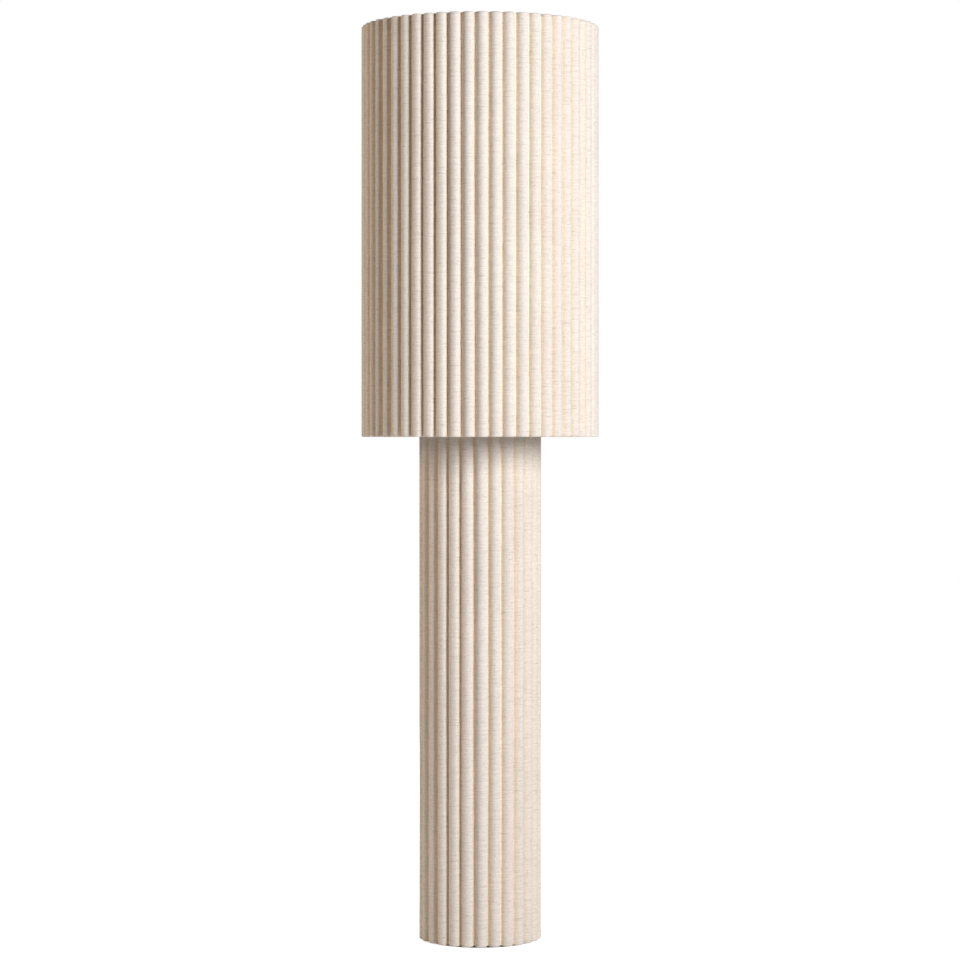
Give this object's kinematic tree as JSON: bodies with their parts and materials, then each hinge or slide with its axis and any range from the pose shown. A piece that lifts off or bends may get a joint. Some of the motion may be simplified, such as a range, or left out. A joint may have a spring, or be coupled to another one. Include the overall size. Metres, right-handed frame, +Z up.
{
  "type": "floor lamp",
  "caption": "Tall floor lamp with a fluted round column and a wider fluted drum shade, both covered in natural linen, on a weighted base with a screw-in bulb.",
  "frame": {"origin": "centre of the felt pad's underside, on the floor", "axes": "+Z up along the lamp's axis, -Y the front, which the picture shows, +X to the right seen from the front"},
  "size_m": [0.3894, 0.39, 1.5],
  "materials": {
    "linen": "woven natural linen, matt, slubby",
    "flute_strip": "pressed fibre strips, matt",
    "core_board": "kraft board tube, matt",
    "top_board": "fibreboard, matt, varnished",
    "cast_base": "cast iron, black lacquer",
    "felt": "pressed wool felt",
    "steel": "zinc plated, satin",
    "white_steel": "white powder coat",
    "slip_washer": "natural nylon",
    "bushing": "soft moulded, beige",
    "terminal_plastic": "moulded, natural",
    "lead_sheath": "white flexible sheath",
    "holder_plastic": "white moulded thermoset",
    "ceramic": "glazed white ceramic",
    "brass": "bare",
    "shade_liner": "white diffusing film",
    "black_glass": "black vitreous insulator",
    "plated_cap": "nickel plated, bright",
    "bulb_housing": "white moulded",
    "light_board": "white masked aluminium board",
    "opal_globe": "opal, satin"
  },
  "bodies": {
    "root": {"felt_pad": "felt", "base_weight": "cast_base", "pole_washer_lower": "steel", "pole_nut_lower": "steel", "pole": "steel", "column_core": "core_board", "column_fluting": "flute_strip", "column_linen": "linen", "column_top_plate": "top_board", "pole_washer_upper": "steel", "pole_nut_upper": "steel", "cord_bushing": "bushing", "terminal_block": "terminal_plastic", "terminal_screws": "brass", "inner_lead": "lead_sheath", "shade_carrier": "white_steel", "holder_cap": "holder_plastic", "holder_nut": "steel", "holder_insert": "ceramic", "holder_terminal_screws": "brass", "holder_centre_contact": "brass", "holder_side_contact": "brass", "holder_sleeve": "holder_plastic"},
    "washer": {"carrier_washer": "slip_washer"},
    "shade": {"spider_ring": "white_steel", "shade_spoke_1": "white_steel", "shade_spoke_2": "white_steel", "shade_spoke_3": "white_steel", "shade_stay_1": "white_steel", "shade_stay_2": "white_steel", "shade_stay_3": "white_steel", "shade_upper_hoop": "white_steel", "shade_lower_hoop": "white_steel", "shade_liner": "shade_liner", "shade_fluting": "flute_strip", "shade_linen": "linen"},
    "bulb": {"bulb_tip_contact": "brass", "bulb_insulator": "black_glass", "bulb_screw_cap": "plated_cap", "bulb_housing": "bulb_housing", "bulb_led_board": "light_board", "bulb_globe": "opal_globe"}
  },
  "joints": [
    {"name": "shade_turn", "type": "hinge", "parent": "root", "child": "washer", "pos_m": [0, 0, 1.0785], "axis": [0, 0, 1], "continuous": true},
    {"name": "shade_lift", "type": "slide", "parent": "washer", "child": "shade", "axis": [0, 0, 1], "range_m": [0, 0.42]},
    {"name": "bulb_out", "type": "slide", "parent": "root", "child": "bulb", "axis": [0, 0, 1], "range_m": [0, 0.3]}
  ]
}
